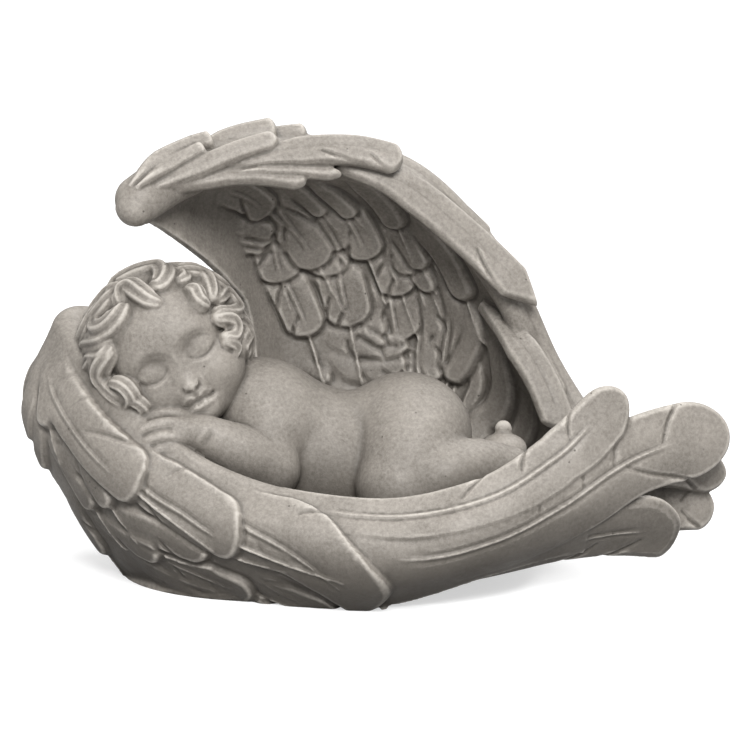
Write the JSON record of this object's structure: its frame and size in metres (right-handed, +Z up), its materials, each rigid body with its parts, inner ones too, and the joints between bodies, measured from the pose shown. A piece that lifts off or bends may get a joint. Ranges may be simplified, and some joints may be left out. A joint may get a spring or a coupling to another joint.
{
  "type": "plaster cherub figurine",
  "caption": "Cast plaster figurine of a cherub asleep in a cradle of feathered wings, one low in front and one arched over it from behind.",
  "frame": {"origin": "on the flat underside, under the sleeping child's belly", "axes": "+Z up, +X along the casting from the child's head to the long feather tips, +Y from the low near wing to the tall far wing"},
  "size_m": [0.2988, 0.1702, 0.1896],
  "materials": {
    "plaster": "matte stone-grey plaster with darker hollows"
  },
  "bodies": {
    "root": {"cherub_in_wings": "plaster"}
  },
  "joints": []
}
